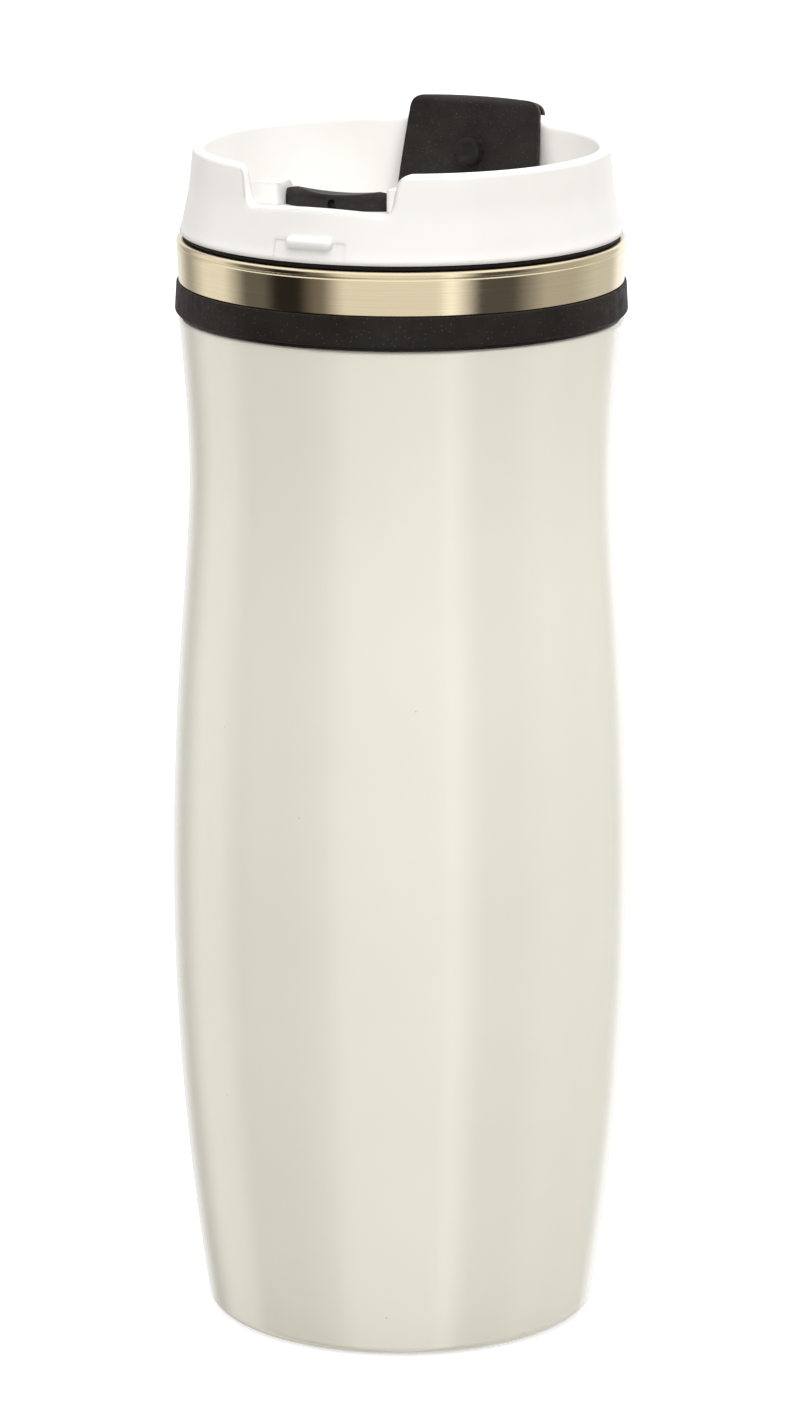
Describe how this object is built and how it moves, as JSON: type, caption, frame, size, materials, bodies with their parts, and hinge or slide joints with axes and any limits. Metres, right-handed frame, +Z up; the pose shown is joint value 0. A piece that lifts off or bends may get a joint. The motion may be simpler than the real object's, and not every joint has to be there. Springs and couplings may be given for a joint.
{
  "type": "insulated travel mug",
  "caption": "Tall waisted double-wall travel mug with a steel neck band, black trim ring and a white screw lid with a drinking notch and a black flip flap.",
  "frame": {"origin": "middle of the foot ring, on the surface the mug stands on", "axes": "+Z up along the mug's axis, the drinking notch in the lid faces -Y, the flap hinge runs along X"},
  "size_m": [0.0794, 0.0794, 0.2089],
  "materials": {
    "shell_paint": "gloss off-white lacquer",
    "lid_white": "satin white moulding",
    "steel_band": "circumferentially brushed",
    "steel_liner": "satin drawn steel",
    "steel_pin": "ground",
    "black_plastic": "fine spark texture",
    "black_rubber": "matt",
    "silicone": "soft matt",
    "foam": "open-cell foam"
  },
  "bodies": {
    "mug": {"outer_shell": "shell_paint", "base_cap": "shell_paint", "insulation_pad": "foam", "inner_liner": "steel_liner", "neck_ring": "black_plastic", "rubber_ring": "black_rubber", "steel_band": "steel_band"},
    "gasket": {"lid_gasket": "silicone"},
    "lid": {"lid_body": "lid_white", "lid_inner_cover": "lid_white", "sip_ramp": "black_plastic", "hinge_pin": "steel_pin"},
    "flap": {"flip_flap": "black_plastic", "flap_plug": "silicone"}
  },
  "joints": [
    {"name": "lid_rise", "type": "slide", "parent": "mug", "child": "gasket", "axis": [0, 0, 1], "range_m": [0, 0.01501]},
    {"name": "lid_twist", "type": "hinge", "parent": "gasket", "child": "lid", "pos_m": [0, 0, 0.1902], "axis": [0, 0, 1], "range_deg": [0, 1080]},
    {"name": "flap_hinge", "type": "hinge", "parent": "lid", "child": "flap", "pos_m": [0, 0.0274, 0.1875], "axis": [1, 0, 0], "range_deg": [0, 103.8]}
  ],
  "couplings": [
    {"joint": "lid_rise", "follows": "lid_twist", "m_per_rad": 0.00079577}
  ]
}
